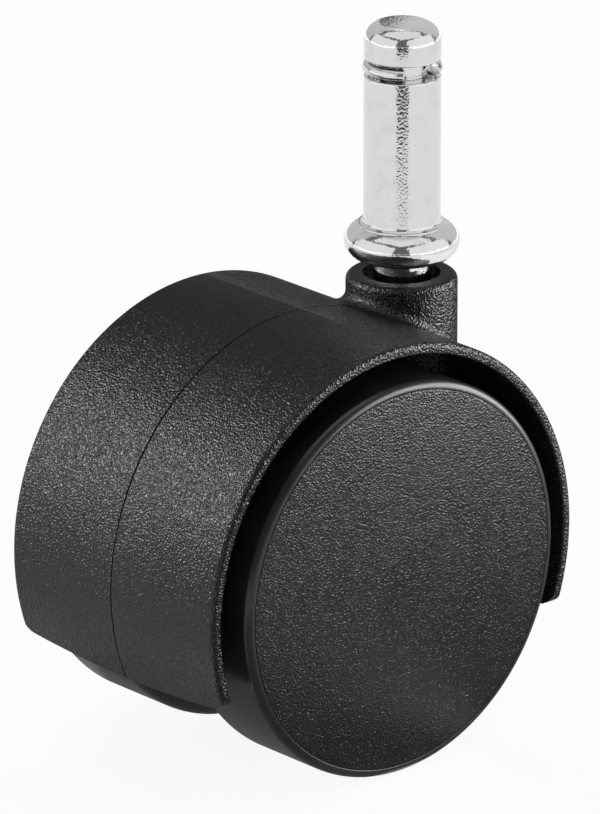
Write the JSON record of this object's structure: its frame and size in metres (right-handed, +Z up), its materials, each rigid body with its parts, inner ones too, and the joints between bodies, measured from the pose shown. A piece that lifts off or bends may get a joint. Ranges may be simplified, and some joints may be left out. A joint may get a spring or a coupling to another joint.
{
  "type": "chair caster wheel",
  "caption": "Hooded twin-wheel swivel caster for an office chair, with a grip-ring stem that plugs into the chair leg and swivels in the hood's neck.",
  "frame": {"origin": "on the stem's axis, at the collar's top face, which seats under the chair leg", "axes": "+Z up along the stem, +X the way the chair rolls with the wheels trailing behind the stem, +Y along the axle to the left wheel"},
  "size_m": [0.0586, 0.042, 0.0873],
  "materials": {
    "nylon_black": "black glass-filled nylon with a fine spark-eroded grain",
    "nylon_wheel": "black nylon, smooth satin tread",
    "plated_steel": "bright nickel plating with fine drawing lines and a few pits",
    "spring_steel": "plated spring wire and strip",
    "bare_steel": "ground steel"
  },
  "bodies": {
    "stem": {"stem": "plated_steel", "grip_ring": "spring_steel", "retaining_ring": "spring_steel"},
    "housing": {"housing": "nylon_black", "axle": "bare_steel", "thrust_disc": "bare_steel", "axle_clip_left": "spring_steel", "axle_clip_right": "spring_steel"},
    "wheel_left": {"wheel_left": "nylon_wheel", "wheel_cap_left": "nylon_black"},
    "wheel_right": {"wheel_right": "nylon_wheel", "wheel_cap_right": "nylon_black"}
  },
  "joints": [
    {"name": "swivel", "type": "hinge", "parent": "stem", "child": "housing", "pos_m": [0, 0, 0], "axis": [0, 0, 1], "continuous": true},
    {"name": "spin_left", "type": "hinge", "parent": "housing", "child": "wheel_left", "pos_m": [-0.0178, 0, -0.0369], "axis": [0, 1, 0], "continuous": true},
    {"name": "spin_right", "type": "hinge", "parent": "housing", "child": "wheel_right", "pos_m": [-0.0178, 0, -0.0369], "axis": [0, 1, 0], "continuous": true}
  ]
}
